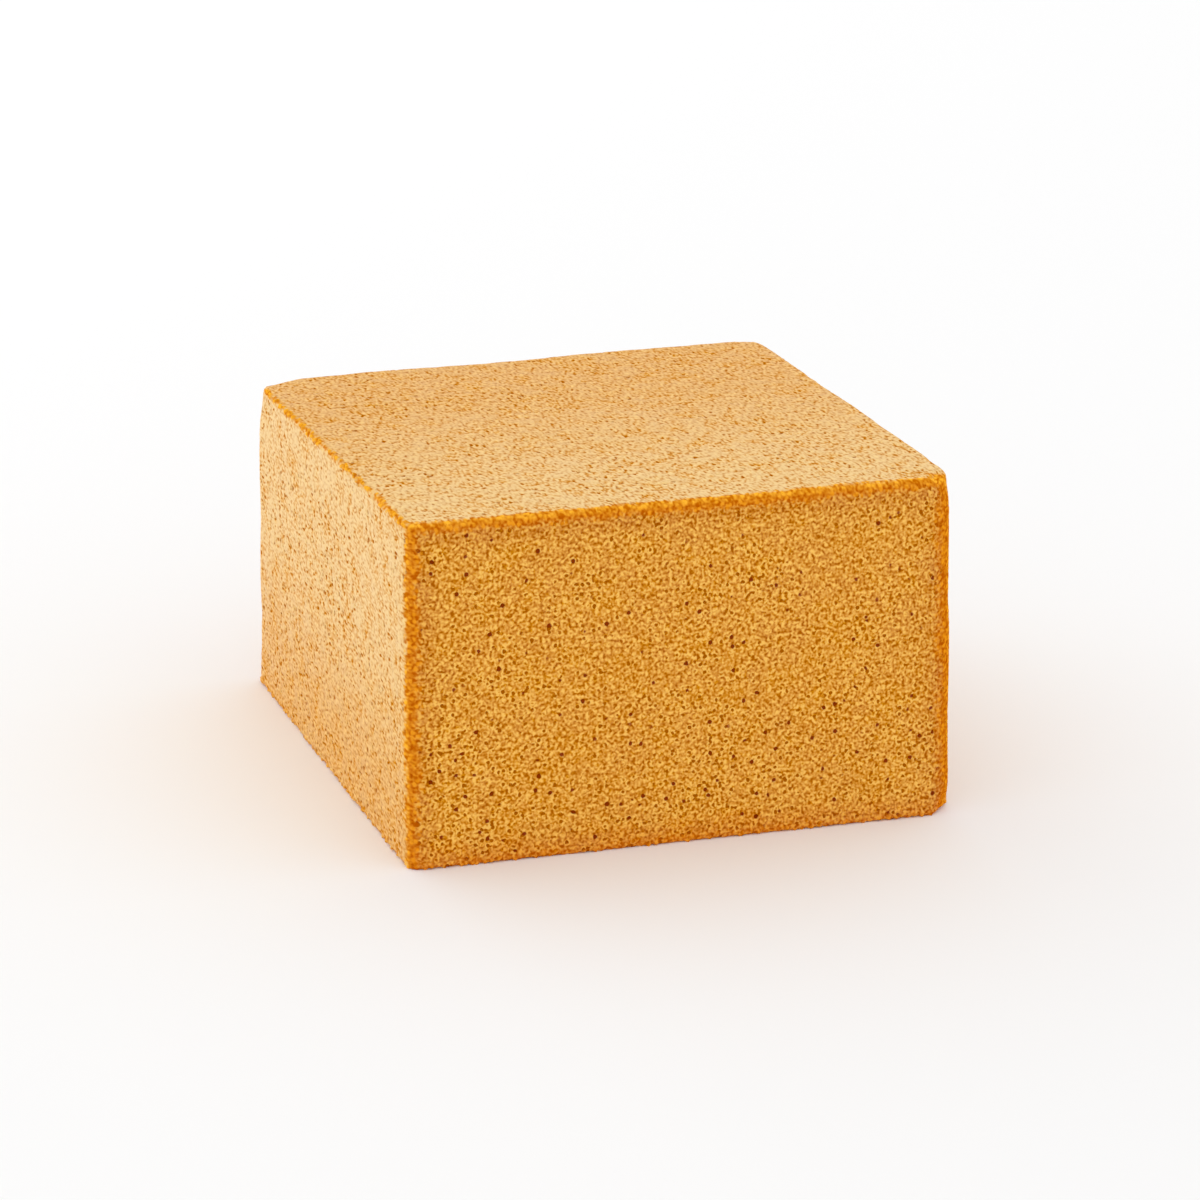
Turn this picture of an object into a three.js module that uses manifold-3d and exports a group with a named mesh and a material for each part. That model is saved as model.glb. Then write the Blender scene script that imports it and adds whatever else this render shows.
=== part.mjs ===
// A square cake, uncut and bare: one solid block of fine, open crumb, trimmed flat by hand.
// Millimetres, +Z up, the front face towards -Y. The origin is the middle of the base of its box.
import * as THREE from 'three';
import { mergeVertices } from 'three/addons/utils/BufferGeometryUtils.js';
import Module from 'manifold-3d';

// Driving dimensions of the true block, before its corners are pulled
const SIDE = 150;
const HEIGHT = 92;
const CORNER_RADII = [5.5, 6.5, 4.5, 7.5]; // upright corners: right back, left back, left front, right front
const TOP_EDGE_RADIUS = 2.8;
const BASE_EDGE_RADIUS = 1.2;

// Hand trimming left no corner quite true: how far each one lies from the true block's corner
const CORNER_PULL = [
  { right: 0, back: 0, up: 1, pull: [0.2, 0.1, 0.6] },
  { right: 1, back: 0, up: 1, pull: [-0.55, 1.0, 1.6] },
  { right: 0, back: 1, up: 1, pull: [-1.45, -0.3, -2.4] },
  { right: 1, back: 1, up: 1, pull: [0.3, -0.1, 0.2] },
  { right: 0, back: 0, up: 0, pull: [1.2, -0.3, 0] },
  { right: 1, back: 0, up: 0, pull: [3.3, -1.3, 0] },
  { right: 0, back: 1, up: 0, pull: [-1.2, 0.8, 0] },
  { right: 1, back: 1, up: 0, pull: [0.4, 0.6, 0] },
];

// The knife's slow waves across each face: three that add up, each with its own direction and start
const WAVE_DEPTH = 0.1;
const WAVES = [
  { length: 61, along: [1, 0.6, 0], start: 1.1 },
  { length: 43, along: [0, 1, -0.5], start: 2.3 },
  { length: 34, along: [0.4, 0, 1], start: 0.4 },
];
const WAVE_CALM = 8; // the waves die away over this height above the base

// How finely the block is divided
const SIDE_STEPS = 13;
const CORNER_STEPS = 3;
const EDGE_STEPS = 3;
const WALL_ROWS = 9;
const TOP_RINGS = 8;

// Pores: the largest air holes of the crumb, some of them in loose clusters
const PORE_SEED = 20417;
const PORE_RADIUS = [0.8, 1.5];
const PORE_SUNK = 0.35; // how far a pore's middle lies under the surface, as a share of its radius
const PORE_MARGIN = 5; // clear distance from a face's edges
const PORES_ALONE = { front: 30, left: 18, right: 18, back: 20, top: 26 };
const CLUSTERS = { front: 5, left: 2, right: 2, back: 2, top: 2 };
const CLUSTER_PORES = 5;
const CLUSTER_SPREAD = 10;

const CRUMB_COLOR = 0xd79338;
const CRUMB_ROUGHNESS = 0.85;

const ACROSS = new THREE.Vector3(1, 0, 0);
const DEEP = new THREE.Vector3(0, 1, 0);
const UPWARD = new THREE.Vector3(0, 0, 1);
const QUARTER_TURN = Math.PI / 2;

/** A seeded source of numbers from 0 to 1. */
function seededRandom(seed) {
  let state = seed;
  return () => {
    state = (state + 0x6d2b79f5) | 0;
    let mixed = Math.imul(state ^ (state >>> 15), 1 | state);
    mixed = (mixed + Math.imul(mixed ^ (mixed >>> 7), 61 | mixed)) ^ mixed;
    return ((mixed ^ (mixed >>> 14)) >>> 0) / 2 ** 32;
  };
}

/** How far the knife's waves lift or sink the surface at a point of the true block. */
function wave(point) {
  const heights = WAVES.map(({ length, along, start }) => {
    const distance = point.dot(new THREE.Vector3(...along));
    return WAVE_DEPTH * Math.sin((2 * Math.PI * distance) / length + start);
  });
  const calm = THREE.MathUtils.smoothstep(point.z, 0, WAVE_CALM);
  return heights.reduce((sum, height) => sum + height) * calm;
}

/** Moves a point of the true block by its share of the eight corners' pulls. */
function pullCorners(point) {
  const share = new THREE.Vector3(point.x / SIDE + 0.5, point.y / SIDE + 0.5, point.z / HEIGHT);
  const moved = point.clone();
  for (const { right, back, up, pull } of CORNER_PULL) {
    const shareAcross = right ? share.x : 1 - share.x;
    const shareDeep = back ? share.y : 1 - share.y;
    const shareUp = up ? share.z : 1 - share.z;
    moved.addScaledVector(new THREE.Vector3(...pull), shareAcross * shareDeep * shareUp);
  }
  return moved;
}

/** Where a point of the true block ends up on the hand-trimmed one. */
function onCake(point, outward) {
  return pullCorners(point.clone().addScaledVector(outward, wave(point)));
}

/** A ring round the block, inset from its walls: flat places with their outward directions. */
function rounding(inset) {
  const ring = [];
  CORNER_RADII.forEach((cornerRadius, corner) => {
    const start = corner * QUARTER_TURN;
    const reach = SIDE / 2 - cornerRadius;
    const centre = new THREE.Vector2(reach, reach).rotateAround(new THREE.Vector2(), start);
    for (let step = 0; step <= CORNER_STEPS; step++) {
      const angle = start + (QUARTER_TURN * step) / CORNER_STEPS;
      const outward = new THREE.Vector2(Math.cos(angle), Math.sin(angle));
      ring.push({ place: centre.clone().addScaledVector(outward, cornerRadius - inset), outward });
    }
    const { place, outward } = ring.at(-1);
    const wallLength = SIDE - cornerRadius - CORNER_RADII[(corner + 1) % 4];
    const wall = new THREE.Vector2(-outward.y, outward.x).multiplyScalar(wallLength);
    for (let step = 1; step < SIDE_STEPS; step++) {
      ring.push({ place: place.clone().addScaledVector(wall, step / SIDE_STEPS), outward });
    }
  });
  return ring;
}

/** One row of the wall's rounded edge: its height, its inset and how far its outward direction tips up. */
function edgeRow(centreHeight, radius, tip) {
  const height = centreHeight + radius * Math.sin(tip);
  return { height, inset: radius * (1 - Math.cos(tip)), tip };
}

/** The wall's rows from the base to the rim of the top. */
function wallRows() {
  const wallTop = HEIGHT - TOP_EDGE_RADIUS;
  const rows = [];
  for (let step = -EDGE_STEPS; step <= 0; step++) {
    rows.push(edgeRow(BASE_EDGE_RADIUS, BASE_EDGE_RADIUS, (QUARTER_TURN * step) / EDGE_STEPS));
  }
  for (let step = 1; step < WALL_ROWS; step++) {
    const height = THREE.MathUtils.lerp(BASE_EDGE_RADIUS, wallTop, step / WALL_ROWS);
    rows.push({ height, inset: 0, tip: 0 });
  }
  for (let step = 0; step <= EDGE_STEPS; step++) {
    rows.push(edgeRow(wallTop, TOP_EDGE_RADIUS, (QUARTER_TURN * step) / EDGE_STEPS));
  }
  return rows;
}

/** Every ring of the block's skin: up the wall, then smaller and smaller rings across the top. */
function skinRings() {
  const rings = wallRows().map(({ height, inset, tip }) =>
    rounding(inset).map(({ place, outward }) => {
      const lean = new THREE.Vector3(outward.x, outward.y, 0).multiplyScalar(Math.cos(tip));
      lean.z = Math.sin(tip);
      return onCake(new THREE.Vector3(place.x, place.y, height), lean);
    }),
  );
  for (let step = 1; step < TOP_RINGS; step++) {
    const size = 1 - step / TOP_RINGS;
    const ring = rounding(TOP_EDGE_RADIUS).map(({ place }) => {
      const flat = place.clone().multiplyScalar(size);
      return onCake(new THREE.Vector3(flat.x, flat.y, HEIGHT), UPWARD);
    });
    rings.push(ring);
  }
  return rings;
}

/** The block as one closed skin: its rings joined by bands, and a fan at the base and at the top. */
function blockGeometry() {
  const rings = skinRings();
  const around = rings[0].length;
  const lastRing = (rings.length - 1) * around;
  const baseMiddle = rings.length * around;
  const topMiddle = baseMiddle + 1;
  const middles = [new THREE.Vector3(), onCake(new THREE.Vector3(0, 0, HEIGHT), UPWARD)];
  const index = [];
  for (let column = 0; column < around; column++) {
    const next = (column + 1) % around;
    index.push(baseMiddle, next, column);
    for (let below = 0; below < lastRing; below += around) {
      const above = below + around;
      index.push(below + column, below + next, above + next);
      index.push(below + column, above + next, above + column);
    }
    index.push(lastRing + column, lastRing + next, topMiddle);
  }
  const geometry = new THREE.BufferGeometry().setFromPoints([...rings.flat(), ...middles]);
  geometry.setIndex(index);
  return geometry;
}

/** A wall that faces the given way, with the two directions across it and its two sizes. */
function wallFacing(x, y) {
  const out = new THREE.Vector3(x, y, 0);
  const middle = out.clone().multiplyScalar(SIDE / 2).setZ(HEIGHT / 2);
  return { out, middle, first: UPWARD.clone().cross(out), second: UPWARD, sizes: [SIDE, HEIGHT] };
}

const TOP_MIDDLE = new THREE.Vector3(0, 0, HEIGHT);
const FACES = {
  front: wallFacing(0, -1),
  left: wallFacing(-1, 0),
  right: wallFacing(1, 0),
  back: wallFacing(0, 1),
  top: { out: UPWARD, middle: TOP_MIDDLE, first: ACROSS, second: DEEP, sizes: [SIDE, SIDE] },
};

/** Where the pores of one face lie, as distances from its middle along its two directions. */
function porePlaces(name, random) {
  const reach = FACES[name].sizes.map((size) => size / 2 - PORE_MARGIN);
  const anywhere = () => reach.map((limit) => (2 * random() - 1) * limit);
  const places = Array.from({ length: PORES_ALONE[name] }, anywhere);
  for (let cluster = 0; cluster < CLUSTERS[name]; cluster++) {
    const centre = anywhere();
    for (let pore = 0; pore < CLUSTER_PORES; pore++) {
      const near = centre.map((value) => value + (random() + random() - 1) * CLUSTER_SPREAD);
      places.push(near.map((value, way) => THREE.MathUtils.clamp(value, -reach[way], reach[way])));
    }
  }
  return places;
}

/** One pore: a small faceted ball, turned at random, its middle just under the surface. */
function poreGeometry(name, [first, second], random) {
  const face = FACES[name];
  const radius = THREE.MathUtils.lerp(...PORE_RADIUS, random() ** 2);
  const surface = face.middle.clone();
  surface.addScaledVector(face.first, first).addScaledVector(face.second, second);
  const centre = onCake(surface, face.out).addScaledVector(face.out, -PORE_SUNK * radius);
  const turn = new THREE.Euler(random() * Math.PI, random() * Math.PI, random() * Math.PI);
  const place = new THREE.Matrix4().makeRotationFromEuler(turn).setPosition(centre);
  return new THREE.IcosahedronGeometry(radius, 0).applyMatrix4(place);
}

/** A closed geometry as a solid that can be cut. */
function toSolid(wasm, geometry) {
  const bare = geometry.clone();
  bare.deleteAttribute('normal');
  bare.deleteAttribute('uv');
  const merged = mergeVertices(bare);
  const mesh = new wasm.Mesh({
    numProp: 3,
    vertProperties: new Float32Array(merged.attributes.position.array),
    triVerts: new Uint32Array(merged.index.array),
  });
  return new wasm.Manifold(mesh);
}

/** A cut solid as a geometry again. */
function toGeometry(solid) {
  const mesh = solid.getMesh();
  const geometry = new THREE.BufferGeometry();
  geometry.setAttribute('position', new THREE.BufferAttribute(mesh.vertProperties, mesh.numProp));
  geometry.setIndex(new THREE.BufferAttribute(mesh.triVerts, 1));
  geometry.computeVertexNormals();
  return geometry;
}

/** The block with its pores cut in, moved so that the origin is the middle of the base of its box. */
function cakeGeometry(wasm) {
  const random = seededRandom(PORE_SEED);
  let solid = toSolid(wasm, blockGeometry());
  for (const name of Object.keys(FACES)) {
    for (const place of porePlaces(name, random)) {
      solid = solid.subtract(toSolid(wasm, poreGeometry(name, place, random)));
    }
  }
  const geometry = toGeometry(solid);
  geometry.computeBoundingBox();
  const middle = geometry.boundingBox.getCenter(new THREE.Vector3());
  geometry.translate(-middle.x, -middle.y, -geometry.boundingBox.min.z);
  return geometry;
}

const wasm = await Module();
wasm.setup();

const crumb = new THREE.MeshStandardMaterial({
  color: CRUMB_COLOR,
  roughness: CRUMB_ROUGHNESS,
  metalness: 0,
});
const cake = new THREE.Mesh(cakeGeometry(wasm), crumb);
cake.name = 'cake';

const part = new THREE.Group();
part.add(cake);

export default part;
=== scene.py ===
# %% [markdown]
# # A square mud cake, uncut and bare
#
# The real thing is one block of golden, caramel-coloured cake, about 150 mm square and 92 mm high.
# It was trimmed by hand, so its faces are nearly flat, its edges are a little soft, and all of its
# character is in the crumb: an even foam of small pores between light ridges, a few larger holes,
# and a deeper amber along the edges, where the knife pressed the crumb together.
#
# A plain block with a painted pattern would look like card from close by. So the crumb is written
# once, as a recipe of numbers in space, and used three times: it moves the points of the mesh, it
# colours the surface, and it gives the finest grain, which no mesh can hold.

# %% Load the fixed frame
import math

import bpy
from mathutils import Matrix, Vector


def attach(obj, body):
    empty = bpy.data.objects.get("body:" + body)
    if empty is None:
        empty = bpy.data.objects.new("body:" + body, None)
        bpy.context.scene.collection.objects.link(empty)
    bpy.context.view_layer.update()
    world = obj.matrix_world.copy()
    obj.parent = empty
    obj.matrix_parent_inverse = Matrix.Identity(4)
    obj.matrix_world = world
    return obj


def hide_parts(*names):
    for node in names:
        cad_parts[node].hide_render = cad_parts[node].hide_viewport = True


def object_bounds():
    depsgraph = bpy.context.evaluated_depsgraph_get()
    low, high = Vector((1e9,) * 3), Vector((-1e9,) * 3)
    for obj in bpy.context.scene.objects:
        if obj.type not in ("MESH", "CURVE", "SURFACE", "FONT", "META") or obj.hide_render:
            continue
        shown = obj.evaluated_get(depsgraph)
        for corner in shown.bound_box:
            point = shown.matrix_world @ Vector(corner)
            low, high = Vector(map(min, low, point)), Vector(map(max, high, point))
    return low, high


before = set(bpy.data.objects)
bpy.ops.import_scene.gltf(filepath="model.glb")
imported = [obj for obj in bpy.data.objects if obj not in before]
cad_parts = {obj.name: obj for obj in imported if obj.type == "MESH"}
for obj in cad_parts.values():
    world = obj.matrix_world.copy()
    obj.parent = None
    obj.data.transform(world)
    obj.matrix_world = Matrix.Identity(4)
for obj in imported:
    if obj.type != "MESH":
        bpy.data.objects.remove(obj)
cad_low, cad_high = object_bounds()
print("box of the solid, mm:", [round(1000 * (high - low), 1) for low, high in zip(cad_low, cad_high)])

# %% [markdown]
# ## Sizes
#
# Blender works in metres, but a cake is easier to think of in millimetres, so the sizes are written
# in millimetres and turned into metres where an operator needs them. They are the sizes of the true
# block. The hand-trimmed one has its corners pulled from there, the worst by three and a half
# millimetres.

# %% The block's sizes
MM = 0.001
SIDE = 150.0
HEIGHT = 92.0

# The rounding of each edge, by the two faces that meet in it
EDGE_RADIUS = {
    ("front", "left"): 4.5,
    ("front", "right"): 7.5,
    ("back", "left"): 6.5,
    ("back", "right"): 5.5,
    ("top", "front"): 2.8,
    ("top", "left"): 1.5,
    ("top", "back"): 3.0,
    ("top", "right"): 1.4,
}
BASE_EDGE_RADIUS = 1.2

# How far each corner lies from the true block's, by which end of X, Y and Z it is at
CORNER_PULL = {
    (0, 0, 1): (0.2, 0.1, 0.6),
    (1, 0, 1): (-0.55, 1.0, 1.6),
    (0, 1, 1): (-1.45, -0.3, -2.4),
    (1, 1, 1): (0.3, -0.1, 0.2),
    (0, 0, 0): (1.2, -0.3, 0.0),
    (1, 0, 0): (3.3, -1.3, 0.0),
    (0, 1, 0): (-1.2, 0.8, 0.0),
    (1, 1, 0): (0.4, 0.6, 0.0),
}

# The corners that handling wore off, three at the top and one at the base: how far round each, and
# how deep
WORN = [
    ((0, 1, 1), 14.0, 1.9),
    ((1, 0, 1), 10.0, 2.0),
    ((1, 1, 1), 10.0, 1.0),
    ((1, 0, 0), 8.0, 2.8),
]

# The knife's slow waves: how deep they are, up to what height they grow from the calm base, and the
# length, the direction and the start of each
WAVE_DEPTH = 0.1
WAVE_CALM = 8.0
WAVES = [
    (61.0, (1.0, 0.6, 0.0), 1.1),
    (43.0, (0.0, 1.0, -0.5), 2.3),
    (34.0, (0.4, 0.0, 1.0), 0.4),
]
print(f"true block: {SIDE:g} x {SIDE:g} x {HEIGHT:g} mm")

# %% [markdown]
# ## Node maths as Python sums
#
# The crumb is a long sum of noises and distances. Wiring it by hand takes dozens of small Math
# nodes. Instead, `Wire` holds one output of a node, and Python's own + - * / on it add the Math or
# Vector Math nodes. Geometry trees and shader trees share these nodes, so the same recipe can shape
# the mesh and paint it.


# %% The class that turns sums into nodes
class Wire:
    """One output of a node. Sums on it add the nodes that work them out."""

    def __init__(self, socket):
        self.socket = socket

    def node(self, kind, settings=None, sockets=None, out=0):
        """Adds a node to the same tree and gives back one of its outputs."""
        return add_node(self.socket.id_data, kind, settings, sockets, out)

    def also(self, out):
        """Another output of the same node."""
        return Wire(self.socket.node.outputs[out])

    def sum_with(self, operation, first, second):
        """A Math node, or a Vector Math node as soon as one side is a vector or a colour."""
        if not (is_vector(first) or is_vector(second)):
            return self.node("ShaderNodeMath", {"operation": operation}, {0: first, 1: second})
        first, second = [(x, x, x) if isinstance(x, (int, float)) else x for x in (first, second)]
        return self.node("ShaderNodeVectorMath", {"operation": operation}, {0: first, 1: second})

    def __add__(self, other):
        return self.sum_with("ADD", self, other)

    def __sub__(self, other):
        return self.sum_with("SUBTRACT", self, other)

    def __rsub__(self, other):
        return self.sum_with("SUBTRACT", other, self)

    def __mul__(self, other):
        return self.sum_with("MULTIPLY", self, other)

    def least(self, other):
        return self.sum_with("MINIMUM", self, other)

    def most(self, other):
        return self.sum_with("MAXIMUM", self, other)

    def sine(self):
        return self.node("ShaderNodeMath", {"operation": "SINE"}, {0: self})

    def dot(self, direction):
        settings = {"operation": "DOT_PRODUCT"}
        return self.node("ShaderNodeVectorMath", settings, {0: self, 1: direction}, "Value")

    def far_from(self, place):
        settings = {"operation": "DISTANCE"}
        return self.node("ShaderNodeVectorMath", settings, {0: self, 1: place}, "Value")

    def parts(self):
        """The X, Y and Z of a vector."""
        split = self.node("ShaderNodeSeparateXYZ", None, {0: self})
        return [split.also(axis) for axis in range(3)]

    def fade(self, start, end, low=0.0, high=1.0):
        """Low up to start, high from end, and an S-curve between them. Start may be the larger."""
        if start > end:
            start, end, low, high = end, start, high, low
        sockets = {"Value": self, "From Min": start, "From Max": end, "To Min": low, "To Max": high}
        return self.node("ShaderNodeMapRange", {"interpolation_type": "SMOOTHSTEP"}, sockets)

    def blend(self, first, second):
        """The first colour where this is 0, the second where it is 1."""
        first, second = [(*x, 1.0) if isinstance(x, tuple) else x for x in (first, second)]
        return self.node("ShaderNodeMix", {"data_type": "RGBA"}, {0: self, 6: first, 7: second}, 2)


def is_vector(value):
    """Whether a wire or a plain value has three parts."""
    if isinstance(value, Wire):
        return value.socket.type in ("VECTOR", "RGBA")
    return isinstance(value, tuple)


def add_node(tree, kind, settings=None, sockets=None, out=0):
    """Adds a node: first its settings, then the values or wires of its sockets."""
    node = tree.nodes.new(kind)
    for name, value in (settings or {}).items():
        if name == "stops":
            fill_ramp(node.color_ramp, value)
        else:
            setattr(node, name, value)
    for key, value in (sockets or {}).items():
        if isinstance(value, Wire):
            tree.links.new(value.socket, node.inputs[key])
        else:
            node.inputs[key].default_value = value
    return Wire(node.outputs[out]) if len(node.outputs) else node


def fill_ramp(ramp, stops):
    """Gives a colour ramp these stops, each a position and a colour."""
    while len(ramp.elements) > 1:
        ramp.elements.remove(ramp.elements[-1])
    for number, (position, colour) in enumerate(stops):
        element = ramp.elements[0] if number == 0 else ramp.elements.new(position)
        element.position = position
        element.color = (*colour, 1.0)


# %% [markdown]
# ## The crumb's recipe
#
# Baked crumb is a foam. Gas pushed the batter into thin walls, and the knife cut through them. From
# near by that makes three things: a fine grain of walls and gaps about a millimetre apart, round
# pores where a bubble was cut through, each with a raised rim that is painted pale as a painted
# highlight, and a few larger holes, which crowd together in some places and are rare in others.
# Noise makes the grain, and Voronoi textures, whose distance is smallest in the middle of each cell,
# make the pores and the holes. The grain is added to their distance before they are cut, so that no
# pore is a perfect circle.
#
# Noise is made on a hidden grid, so the walls' noise is swirled a little, which hides it. Grain and
# pores are drawn out to twice their length from front to back, because that is how they run on the
# real cake's top and left side. Along the edges the knife rolled the crumb into beads, which are one
# more set of cells.

# %% The crumb as a recipe
# Both pitches go an even number of times into half the side, so that a plane of each noise's grid
# lies in every upright face and in the top. That keeps large blotches out of the faces.
WALL_PITCH = SIDE / 2 / 80
THREAD_PITCH = SIDE / 2 / 112
WALL_SHARE = 1.1
THREAD_SHARE = 0.7
WALL_SWIRL = 0.4
DEPTH_STRETCH = 0.5
PORE_PITCH = 1.5
HOLE_PITCH = 3.1
BEAD_PITCH = 1.6
LUMP_SIZE = 6.0

# From where to where a pore, its rim, a hole and a bead grow, in pitches from the middle of a cell
PORE_WALL = (0.42, 0.12)
RIM_OUTSIDE = (0.62, 0.48)
RIM_INSIDE = (0.3, 0.46)
HOLE_WALL = (0.23, 0.11)
BEAD_WALL = (0.55, 0.1)
PORE_RAGGED = 0.15
HOLE_RAGGED = 0.1

# A cell holds a pore or a hole by its random number, which is higher where they crowd and low down
PORE_CHANCE = (0.2, 1.1)
HOLE_CHANCE = (0.54, 0.8)
CROWD_SIZE = 22.0
CROWD_SHARE = 1.3
CROWD_HEIGHT = (HEIGHT * 0.8, 10.0, -0.08, 0.14)


def noise(place, size, detail=0.0, swirl=0.0):
    """Soft noise around 0 whose blobs are about this many millimetres across."""
    sockets = {"Vector": place, "Scale": 1.0 / size, "Detail": detail, "Distortion": swirl}
    return place.node("ShaderNodeTexNoise", {"noise_dimensions": "3D"}, sockets) - 0.5


def bubbles(place, pitch):
    """Distance from the nearest bubble's middle, in pitches, and that bubble's own random number."""
    sockets = {"Vector": place, "Scale": 1.0 / pitch, "Randomness": 1.0}
    distance = place.node("ShaderNodeTexVoronoi", {"feature": "F1"}, sockets, "Distance")
    return distance, distance.also("Color").parts()[0]


def crumb(place):
    """The crumb at a place in millimetres. Grain and lump lie around 0, the rest from 0 to 1."""
    stretched = (place - (0.0, 0.0, HEIGHT)) * (1.0, DEPTH_STRETCH, 1.0)
    walls = noise(stretched, WALL_PITCH, swirl=WALL_SWIRL)
    grain = walls * WALL_SHARE + noise(stretched, THREAD_PITCH) * THREAD_SHARE
    crowd = noise(place, CROWD_SIZE, 1.0) * CROWD_SHARE + place.parts()[2].fade(*CROWD_HEIGHT)
    distance, chance = bubbles(stretched, PORE_PITCH)
    distance = distance + grain * PORE_RAGGED
    is_pore = (chance + crowd).fade(*PORE_CHANCE)
    pore = distance.fade(*PORE_WALL) * is_pore
    rim = distance.fade(*RIM_OUTSIDE) * distance.fade(*RIM_INSIDE) * is_pore
    distance, chance = bubbles(place, HOLE_PITCH)
    is_hole = (chance + crowd).fade(*HOLE_CHANCE)
    hole = (distance + grain * HOLE_RAGGED).fade(*HOLE_WALL) * is_hole
    lump = noise(place, LUMP_SIZE, 1.0)
    bead = bubbles(place, BEAD_PITCH)[0].fade(*BEAD_WALL)
    return {"grain": grain, "pore": pore, "rim": rim, "hole": hole, "lump": lump, "bead": bead}


def face_distances(place):
    """Millimetres from each face of the true block, by the face's name."""
    x, y, z = place.parts()
    half = SIDE / 2
    faces = {"left": x + half, "right": half - x, "front": y + half, "back": half - y}
    return faces | {"top": HEIGHT - z, "base": z}


def edge_mask(place, bands, wobble, wider=0.0, softer=1.0):
    """Up to 1 in the bands along the edges, 0 away from them, with wobbling borders."""
    distance = face_distances(place)
    mask = 0.0
    for (first, second), (width, softness, strength) in bands.items():
        reach = distance[first].most(distance[second]) + wobble
        border, blur = width + wider, softness * softer
        mask = reach.fade(border + blur, border - blur, 0.0, strength).most(mask)
    return mask


def wave_height(place):
    """The knife's slow waves, in millimetres, calm at the base."""
    waves = 0.0
    for length, direction, start in WAVES:
        waves = (place.dot(direction) * (2 * math.pi / length) + start).sine() * WAVE_DEPTH + waves
    return waves * place.parts()[2].fade(0.0, WAVE_CALM)


print(f"walls every {WALL_PITCH:.2f} mm, pores every {PORE_PITCH:g} mm, holes every {HOLE_PITCH:g} mm")

# %% [markdown]
# ## The block
#
# The block starts as a cube of its full size. On the real cake no two edges are rounded alike: the
# near top edge is soft, the ones along the left and right sides are almost sharp, and the uprights
# are the roundest. A Bevel modifier can round all edges at once, each by its own weight, and it fits
# the different roundings together at the corners, which separate bevels would not.


# %% Model the block
NEAR = 1.0  # an edge belongs to the faces that its middle is this near to, in millimetres
BEVEL_SEGMENTS = 8


def deselect():
    bpy.ops.object.select_all(action="DESELECT")


def apply_modifier(piece, kind, settings):
    """Adds a modifier with these settings and applies it."""
    deselect()
    piece.select_set(True)
    bpy.context.view_layer.objects.active = piece
    modifier = piece.modifiers.new(kind.lower(), kind)
    for name, value in settings.items():
        setattr(modifier, name, value)
    bpy.ops.object.modifier_apply(modifier=modifier.name)


def faces_at(middle):
    """The names of the faces that meet in an edge, told by the edge's middle in millimetres."""
    names = {"left": -middle.x, "right": middle.x, "front": -middle.y, "back": middle.y}
    touched = {name for name, reach in names.items() if reach > SIDE / 2 - NEAR}
    if middle.z > HEIGHT - NEAR:
        touched.add("top")
    if middle.z < NEAR:
        touched.add("base")
    return touched


deselect()
bpy.ops.mesh.primitive_cube_add(size=MM, location=(0, 0, HEIGHT / 2 * MM), scale=(SIDE, SIDE, HEIGHT))
cake = bpy.context.object
cake.name = "cake_crumb"
bpy.ops.object.transform_apply(location=True, rotation=True, scale=True)
widest = max(EDGE_RADIUS.values())
weights = cake.data.attributes.new("bevel_weight_edge", "FLOAT", "EDGE")
for edge in cake.data.edges:
    ends = [cake.data.vertices[index].co for index in edge.vertices]
    touched = faces_at((ends[0] + ends[1]) / 2 / MM)
    radius = next((r for faces, r in EDGE_RADIUS.items() if touched == set(faces)), BASE_EDGE_RADIUS)
    weights.data[edge.index].value = radius / widest
bevel = {"width": widest * MM, "segments": BEVEL_SEGMENTS, "limit_method": "WEIGHT"}
apply_modifier(cake, "BEVEL", bevel | {"use_clamp_overlap": False})
print("faces after the bevel:", len(cake.data.polygons))

# %% [markdown]
# ## Relief
#
# A Remesh modifier lays an even grid of small squares over the block, so there are points for the
# relief to move. A geometry-node tree then keeps each point's first place, in millimetres, as the
# attribute `crumb_place`, and moves the point in or out by the recipe. The material reads that
# attribute later, so the painted bubbles and the modelled ones are the same bubbles.
#
# The tree moves the points for three more reasons. Beads stand up along the edges. The worn corners
# sink in, and they carry no beads. And no point may stay below the floor, so the last node lifts
# those that the relief pushed under it.

# %% Lay the grid and press the crumb into it
GRID = 0.5
PORE_DEPTH = 0.3
RIM_HEIGHT = 0.06
HOLE_DEPTH = 0.45
LUMP_HEIGHT = 0.4
BEAD_HEIGHT = 0.9

# The heights between which the relief grows, so that the base stays flat
OFF_BASE = (0.1, 0.7)

# The beads start at this share of a worn corner's reach
BEADLESS = 0.4

# The edges where the knife rolled the crumb into beads: how wide the row is, how soft, how strong
BEADED = {
    ("top", "left"): (1.3, 0.8, 1.0),
    ("top", "front"): (2.2, 0.8, 0.25),
    ("front", "left"): (1.6, 0.8, 0.5),
    ("front", "right"): (1.6, 0.8, 0.3),
    ("base", "front"): (1.6, 0.8, 0.7),
    ("base", "left"): (1.6, 0.8, 0.7),
    ("base", "right"): (1.6, 0.8, 0.7),
    ("base", "back"): (1.6, 0.8, 0.7),
}
PLACE = "crumb_place"
LOWEST = (-1.0, -1.0, 0.0)  # in metres, and far enough out sideways to hold nothing back


def new_geometry_tree(name):
    """An empty geometry-node tree, and the geometry that goes into it."""
    tree = bpy.data.node_groups.new(name, "GeometryNodeTree")
    for way in ("INPUT", "OUTPUT"):
        tree.interface.new_socket("Geometry", in_out=way, socket_type="NodeSocketGeometry")
    return tree, add_node(tree, "NodeGroupInput")


def crumb_height(parts):
    """How far the crumb stands out or sinks, in millimetres, apart from its grain."""
    pits = (parts["pore"] * PORE_DEPTH).most(parts["hole"] * HOLE_DEPTH)
    return parts["lump"] * LUMP_HEIGHT + parts["rim"] * RIM_HEIGHT - pits


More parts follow.
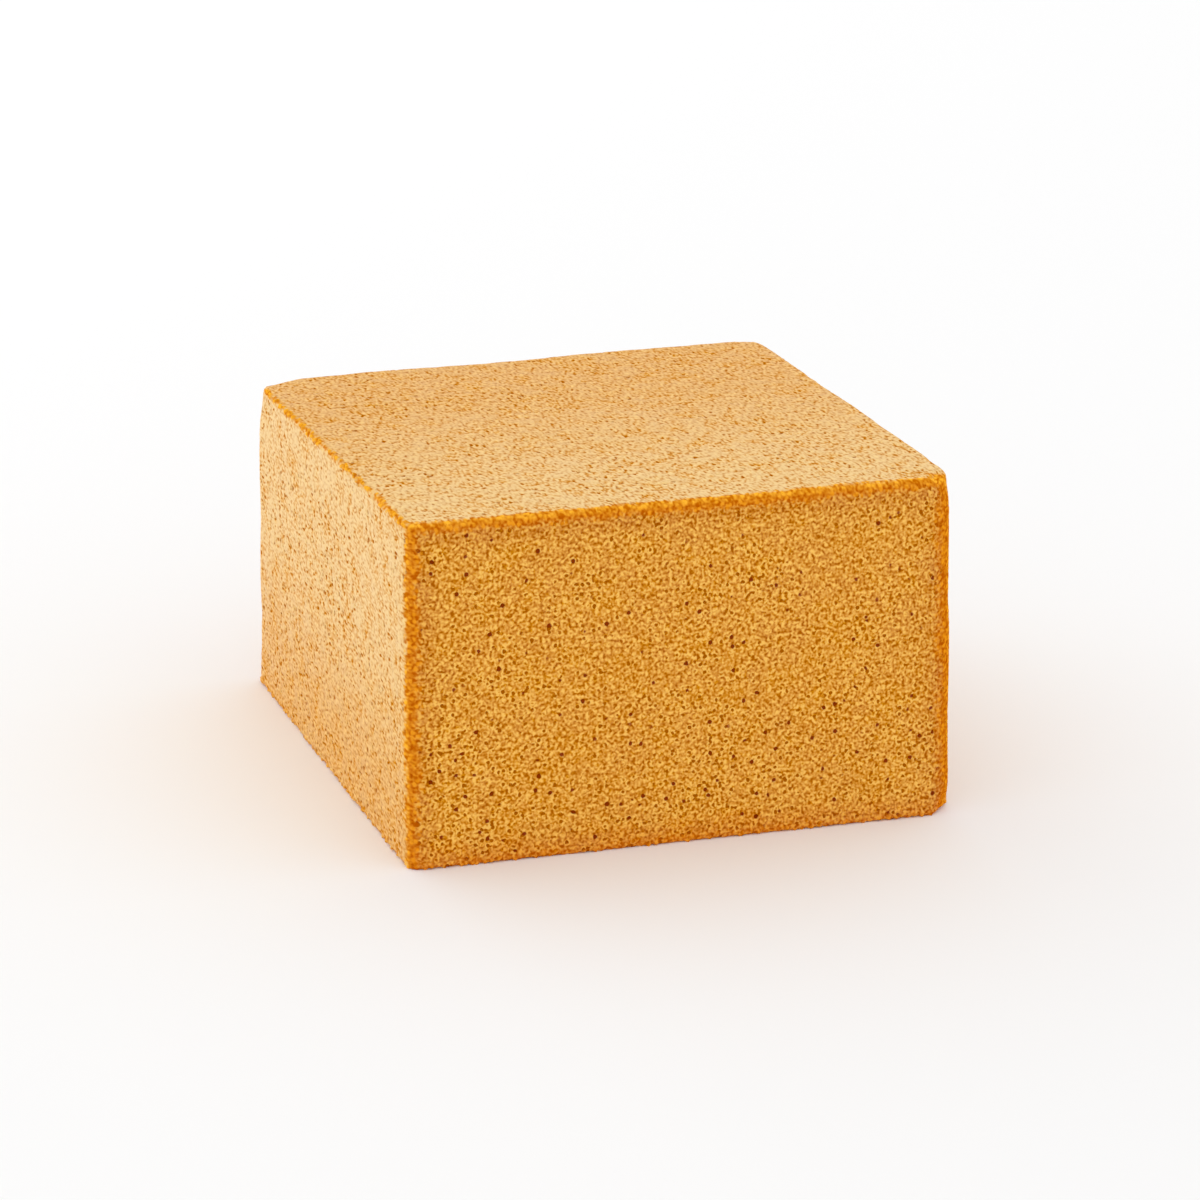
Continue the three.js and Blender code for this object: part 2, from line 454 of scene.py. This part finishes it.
def worn_off(place):
    """How the worn corners move in, as a vector in millimetres, and how unworn each place is."""
    move, unworn = (0.0, 0.0, 0.0), 1.0
    for ends, radius, depth in WORN:
        outward = Vector([end * 2.0 - 1.0 for end in ends])
        corner = (outward.x * SIDE / 2, outward.y * SIDE / 2, ends[2] * HEIGHT)
        away = place.far_from(corner)
        move = away.fade(radius, 0.0) * tuple(outward.normalized() * -depth) + move
        unworn = away.fade(radius * BEADLESS, radius) * unworn
    return move, unworn


apply_modifier(cake, "REMESH", {"mode": "VOXEL", "voxel_size": GRID * MM})
print("grid points:", len(cake.data.vertices))

relief, mesh_in = new_geometry_tree("relief")
place = add_node(relief, "GeometryNodeInputPosition") * (1 / MM)
store = {"data_type": "FLOAT_VECTOR", "domain": "POINT"}
wires = {"Geometry": mesh_in, "Name": PLACE, "Value": place}
kept = place.node("GeometryNodeStoreNamedAttribute", store, wires)
read = {"data_type": "FLOAT_VECTOR"}
first_place = place.node("GeometryNodeInputNamedAttribute", read, {"Name": PLACE})
parts = crumb(first_place)
worn, unworn = worn_off(first_place)
beads = parts["bead"] * edge_mask(first_place, BEADED, 0.0) * unworn * BEAD_HEIGHT
off_base = first_place.parts()[2].fade(*OFF_BASE)
height = crumb_height(parts) * off_base + beads + wave_height(first_place)
step = (add_node(relief, "GeometryNodeInputNormal") * height + worn) * MM
moved = place.node("GeometryNodeSetPosition", None, {"Geometry": kept, "Offset": step})
on_floor = add_node(relief, "GeometryNodeInputPosition").most(LOWEST)
moved = place.node("GeometryNodeSetPosition", None, {"Geometry": moved, "Position": on_floor})
add_node(relief, "NodeGroupOutput", None, {0: moved})
apply_modifier(cake, "NODES", {"node_group": relief})

# %% [markdown]
# ## The hand trim
#
# No hand cuts a true block. A lattice is a cage of points round a mesh, and the mesh follows when
# they move. With two points along each side and straight interpolation, each of its eight corners
# pulls its share of the cake, which is how a slightly tilted knife leaves it.


# %% Pull the corners
def add_lattice():
    """A cage of eight points that just fits the true block."""
    deselect()
    bpy.ops.object.add(type="LATTICE", location=(0, 0, HEIGHT / 2 * MM))
    cage = bpy.context.object
    cage.scale = (SIDE * MM, SIDE * MM, HEIGHT * MM)
    for way in "uvw":
        setattr(cage.data, f"points_{way}", 2)
        setattr(cage.data, f"interpolation_type_{way}", "KEY_LINEAR")
    return cage


cage = add_lattice()
for point in cage.data.points:
    corner = tuple(int(c > 0) for c in point.co)
    pull = Vector(CORNER_PULL[corner])
    point.co_deform = point.co + Vector((pull.x / SIDE, pull.y / SIDE, pull.z / HEIGHT))
bpy.context.view_layer.update()
apply_modifier(cake, "LATTICE", {"object": cage})
bpy.data.objects.remove(cage)


def mesh_box(piece):
    """The lowest and highest corner of a mesh."""
    places = [vertex.co for vertex in piece.data.vertices]
    return [Vector([pick(place[axis] for place in places) for axis in range(3)]) for pick in (min, max)]


low, high = mesh_box(cake)
cad_centre = (cad_low + cad_high) / 2
shift_x = cad_centre.x - (low.x + high.x) / 2
shift_y = cad_centre.y - (low.y + high.y) / 2
shift = Vector((shift_x, shift_y, cad_low.z - low.z))
cake.data.transform(Matrix.Translation(shift))
print("moved onto the solid, mm:", [round(1000 * part, 2) for part in shift])

# %% [markdown]
# ## Fewer triangles
#
# The grid has far more points than a flat face needs. Decimate takes them away where the surface is
# plain and keeps them round the holes and bubbles, so the relief survives in a mesh that other
# programs can still open.

# %% Thin the mesh
TRIANGLES = 195_000


def triangle_count(piece):
    return sum(len(face.vertices) - 2 for face in piece.data.polygons)


before = triangle_count(cake)
thinner = {"ratio": min(1.0, TRIANGLES / before), "use_collapse_triangulate": True}
apply_modifier(cake, "DECIMATE", thinner)
deselect()
cake.select_set(True)
bpy.ops.object.shade_smooth()
print("triangles:", before, "->", triangle_count(cake))
print("attributes:", [a.name for a in cake.data.attributes])

# %% [markdown]
# ## Camera
#
# The photograph was taken with a long lens from a little above, turned so that the front shows
# almost square on and the left side as a narrow strip. A long lens keeps the uprights almost
# parallel. The numbers come from fitting the block's edges to the picture.

# %% The camera
PICTURE_PIXELS = 1200
LENS_PIXELS = 3855.0
SENSOR = 36.0
CLIP_NEAR = 0.05
CLIP_FAR = 50.0
CAMERA_PLACE = Vector((-328.39, -948.29, 385.17)) * MM
CAMERA_TURN, CAMERA_TILT, CAMERA_ROLL = (math.radians(angle) for angle in (19.23, 18.88, 1.35))


def camera_axes(turn, tilt, roll):
    """Rows that take a place in the world to right, forward and up of the camera."""
    turned = Matrix.Rotation(turn, 3, "Z")
    tilted = Matrix.Rotation(tilt, 3, "X")
    rolled = Matrix.Rotation(roll, 3, "Y")
    return rolled @ tilted @ turned


right, forward, up = camera_axes(CAMERA_TURN, CAMERA_TILT, CAMERA_ROLL)
bpy.ops.object.camera_add()
camera = bpy.context.object
camera.name = "camera"
camera.data.sensor_width = SENSOR
camera.data.lens = LENS_PIXELS / PICTURE_PIXELS * SENSOR
camera.data.clip_start = CLIP_NEAR
camera.data.clip_end = CLIP_FAR
facing = Matrix((right, up, -forward)).transposed().to_4x4()
camera.matrix_world = Matrix.Translation(CAMERA_PLACE + shift) @ facing
bpy.context.scene.camera = camera
print(f"lens {camera.data.lens:.1f} mm, {CAMERA_PLACE.length:.2f} m away")

# %% [markdown]
# ## Floor and light
#
# The set is a white sweep with light from everywhere, the usual way to show food as it is. A white
# world gives that even light and the pale veil that every rough surface takes at a low angle. One
# wide soft lamp, a little above the cake on its left and behind it, gives the top and the left side
# more than the front. The picture's colours are shown as they are, with no film curve.

# %% The floor and the lights
WORLD_STRENGTH = 1.02
FLOOR_SIZE = 12.0
FLOOR_WHITE = 0.93
FLOOR_ROUGHNESS = 0.9
LAMP_PLACE = (-1.6, 2.0, 0.5)
LAMP_WIDTH = 3.6
LAMP_HEIGHT = 0.9
LAMP_BRIGHTNESS = 1.6


def new_material(name):
    """A material with one Principled shader, and its tree and shader."""
    material = bpy.data.materials.new(name)
    material.use_nodes = True
    return material, material.node_tree, material.node_tree.nodes["Principled BSDF"]


world = bpy.data.worlds.new("white_sweep")
bpy.context.scene.world = world
world.use_nodes = True
world.node_tree.nodes["Background"].inputs["Color"].default_value = (1, 1, 1, 1)
world.node_tree.nodes["Background"].inputs["Strength"].default_value = WORLD_STRENGTH
bpy.context.scene.view_settings.view_transform = "Standard"


def add_softbox(name, place, width, height, brightness):
    """A rectangular lamp that faces the middle of the cake. White paper in full light is 1 bright."""
    bpy.ops.object.light_add(type="AREA", location=place)
    lamp = bpy.context.object
    lamp.name = name
    towards = Vector((0, 0, HEIGHT * MM / 2)) - Vector(place)
    lamp.rotation_euler = towards.to_track_quat("-Z", "Y").to_euler()
    lamp.data.shape = "RECTANGLE"
    lamp.data.size, lamp.data.size_y = width, height
    lamp.data.energy = brightness * math.pi * width * height


add_softbox("back_light", LAMP_PLACE, LAMP_WIDTH, LAMP_HEIGHT, LAMP_BRIGHTNESS)

deselect()
bpy.ops.mesh.primitive_plane_add(size=FLOOR_SIZE)
floor = bpy.context.object
floor.name = "floor"
floor_paint, _, floor_shader = new_material("floor_paint")
floor_shader.inputs["Base Color"].default_value = (FLOOR_WHITE, FLOOR_WHITE, FLOOR_WHITE, 1)
floor_shader.inputs["Roughness"].default_value = FLOOR_ROUGHNESS
floor.data.materials.append(floor_paint)

# %% [markdown]
# ## The crumb's finish
#
# Close up, the cut crumb is not one colour. The walls between the bubbles are pale gold and the
# bubbles amber, partly their own colour and partly painted shade in the gaps and pores, with painted
# light on the walls and the pores' rims. The holes are painted a dark red-brown as painted shade,
# because light that goes into them bounces between their walls. A colour ramp turns the grain, the
# pores and their rims into those colours.
#
# Four things lie over it. On the top and on the left side the walls fade towards cream, a painted
# sheen that adds to the pale veil these faces take at a low angle, the top most at the front and the
# left side most at its upper part. Along the edges, where the knife pressed the crumb, it is a
# saturated orange with a grain of its own, with a painted highlight on the very rim. Beside those
# bands a warm halo runs on into the front, the back and the right side. And at the foot the crumb is
# painted a little warmer, as painted reflected light, the warm light a board under it throws back. A
# clear coat on the sheen-painted walls gives the pale veil that crumb shows at a low angle.
#
# The colours are written as they look on a screen and turned into the linear values of a shader.


# %% The crumb's colours
def seen(red, green, blue):
    """A colour as a screen shows it, 0 to 255, as the linear numbers of a shader."""
    parts = [part / 255 for part in (red, green, blue)]
    return tuple(part / 12.92 if part <= 0.04045 else ((part + 0.055) / 1.055) ** 2.4 for part in parts)


# The gap and hole colours are partly painted shade of the hollows, and the wall colour is partly
# painted light on the raised walls
GAP = seen(172, 92, 0)
CRUMB = seen(216, 140, 12)
WALL = seen(252, 194, 82)
HOLE_SHADE = seen(146, 54, 0)
SHEEN_CREAM = seen(245, 219, 155)
PRESSED_GAP = seen(188, 88, 0)
PRESSED = seen(240, 152, 24)
TONE_STOPS = [(0.15, GAP), (0.5, CRUMB), (0.9, WALL)]

# These are multiplied into the colour under them: none, the rim's painted highlight, the halo, and the
# foot's painted reflected light
NO_TINT = (1.0, 1.0, 1.0)
RIM_HIGHLIGHT = (1.22, 1.6, 3.2)
HALO_TINT = (0.9, 0.8, 0.52)
FOOT_BOUNCE_TINT = (1.0, 0.9, 0.6)

# How much each part of the crumb adds to a number that steers the colour, and what it starts from
# The pores' share darkens them as painted shade, and the rims' share lightens them as a painted
# highlight
TONE = {"grain": 1.16, "rim": 0.3, "pore": -0.5}
TONE_START = 0.53
# How much the walls take the painted sheen: the grain raises it, the pores lower it, lumps vary it
SHEEN_SHARES = {"grain": 2.4, "pore": -1.3}
SHEEN_LUMPS = 0.9
SHEEN_START = 0.74
WOBBLE = {"lump": 2.6, "grain": 1.3, "bead": -0.8}
WOBBLE_START = 0.2
PRESSED_TONE = {"grain": 1.3, "bead": 0.7}
PRESSED_START = 0.35

# A point is partly on the top or on the left side from this near to it, and then wholly
FACE_REACH = (2.0, 0.5)

# How much calmer the crumb's contrast, its bumps and its veil are on the top and on the left side
CALM_TONE = (0.45, 0.5)
CALM_BUMPS = (0.75, 0.6)
CALM_VEIL = (0.5, 0.35)

# How strong the painted sheen is on the top from its back to its front, and on the left side from its
# foot upwards
SHEEN_TOP_REACH = (130.0, 0.0, 0.28, 0.62)
SHEEN_LEFT_REACH = (10.0, 60.0, 0.32, 0.62)

# How far the pressed band reaches from each edge, how soft its border is, and how strongly it shows
BANDS = {
    ("front", "left"): (3.0, 0.9, 0.9),
    ("front", "right"): (5.6, 2.0, 1.0),
    ("back", "left"): (2.5, 1.0, 0.3),
    ("back", "right"): (3.0, 1.5, 0.6),
    ("top", "front"): (2.6, 0.9, 0.9),
    ("top", "left"): (1.0, 0.7, 0.9),
    ("top", "back"): (1.2, 0.7, 0.15),
    ("top", "right"): (1.2, 0.7, 0.15),
    ("base", "front"): (1.8, 1.0, 0.6),
    ("base", "left"): (1.2, 1.0, 0.4),
    ("base", "right"): (1.5, 1.0, 0.5),
    ("base", "back"): (1.5, 1.0, 0.5),
}
HALO_WIDER = 3.5
HALO_SOFTER = 2.5

# The rim's painted highlight, narrower where a face's distance is stretched, and the foot's painted
# reflected light, both in millimetres
RIM_HIGHLIGHT_REACH = (1.6, 0.4)
RIM_STRETCH_LEFT = 1.4
RIM_STRETCH_RIGHT = 0.6
FOOT_REACH = (9.0, 2.0)
FOOT_WOBBLE = 8.0

# From which to which depth of a hole the painted shade darkens it, and what goes into the bumps, in
# millimetres
HOLE_SHADE_REACH = (0.1, 0.7)
BUMP_RELIEF = 0.6
BUMP_GRAIN = 0.08


def added_up(parts, shares):
    """The crumb's parts added up, each times its share."""
    total = 0.0
    for name, share in shares.items():
        total = parts[name] * share + total
    return total


def calmed(amounts):
    """1 on most of the cake, and less by these amounts on the top and on the left side."""
    return 1.0 - on_top * amounts[0] - on_left * amounts[1]


crumb_finish, tree, shader = new_material("crumb")
place = add_node(tree, "ShaderNodeAttribute", {"attribute_name": PLACE}, None, "Vector")
parts = crumb(place)
side = face_distances(place)
on_top = side["top"].fade(*FACE_REACH)
on_left = side["left"].fade(*FACE_REACH)
calm = calmed(CALM_TONE)

# The cut crumb: its own colour, with painted shade in the gaps and pores and painted light on walls and
# rims
tone = added_up(parts, TONE) * calm + TONE_START
colour = tone.node("ShaderNodeValToRGB", {"stops": TONE_STOPS}, {0: tone})

# The painted sheen on the walls of the top and the left side, and the painted shade in the holes
wobble = added_up(parts, WOBBLE) + WOBBLE_START
pressed = edge_mask(place, BANDS, wobble)
sheen_walls = added_up(parts, SHEEN_SHARES) * calm + parts["lump"] * SHEEN_LUMPS + SHEEN_START
sheen_walls = sheen_walls.fade(0.0, 1.0) * (1.0 - pressed)
sheen_top = on_top * side["front"].fade(*SHEEN_TOP_REACH)
sheen_left = on_left * side["base"].fade(*SHEEN_LEFT_REACH)
# Painted sheen: the walls of the top and the left side turn cream, as they look at a low angle in white
# light
colour = (sheen_walls * sheen_top.most(sheen_left)).blend(colour, SHEEN_CREAM)
# Painted shade in the holes, darkest where they are deep
colour = (parts["hole"].fade(*HOLE_SHADE_REACH) * calm).blend(colour, HOLE_SHADE)

# The halo, the pressed bands with a painted highlight on their rim, and painted reflected light at the
# foot
halo = edge_mask(place, BANDS, wobble, HALO_WIDER, HALO_SOFTER) * (1.0 - on_top) * (1.0 - on_left)
colour = colour * halo.blend(NO_TINT, HALO_TINT)
to_lit_rim = side["top"].least(side["left"] * RIM_STRETCH_LEFT)
to_lit_rim = to_lit_rim.least(side["right"] * RIM_STRETCH_RIGHT).least(side["back"])
band = (added_up(parts, PRESSED_TONE) + PRESSED_START).blend(PRESSED_GAP, PRESSED)
# A painted highlight lightens the band on the very rim of the top, the left, the right and the back
band = band * to_lit_rim.fade(*RIM_HIGHLIGHT_REACH).blend(NO_TINT, RIM_HIGHLIGHT)
colour = pressed.blend(colour, band)
# Painted reflected light: the foot, except on the left side, is painted warmer, as a warm board under
# it would light it
foot_bounce = (side["base"] + parts["lump"] * FOOT_WOBBLE).fade(*FOOT_REACH) * (1.0 - on_left)
colour = colour * foot_bounce.blend(NO_TINT, FOOT_BOUNCE_TINT)

# The veil and the bumps
veil = sheen_walls * (1.0 - parts["hole"]) * calmed(CALM_VEIL)
bump_height = crumb_height(parts) * BUMP_RELIEF + parts["grain"] * BUMP_GRAIN
bump_height = bump_height * calmed(CALM_BUMPS)
bump = place.node("ShaderNodeBump", None, {"Strength": 1.0, "Distance": MM, "Height": bump_height})
tree.links.new(colour.socket, shader.inputs["Base Color"])
tree.links.new(veil.socket, shader.inputs["Coat Weight"])
tree.links.new(bump.socket, shader.inputs["Normal"])
shader.inputs["Roughness"].default_value = 0.7
shader.inputs["Specular IOR Level"].default_value = 0.0
shader.inputs["Coat Roughness"].default_value = 0.3
shader.inputs["Coat IOR"].default_value = 1.5
cake.data.materials.append(crumb_finish)

# %% [markdown]
# ## Hand over
#
# The cake rides on the part's one body and stands for the solid, which stays hidden for collisions.

# %% Ride, replace and finish
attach(cake, "root")
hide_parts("cake")
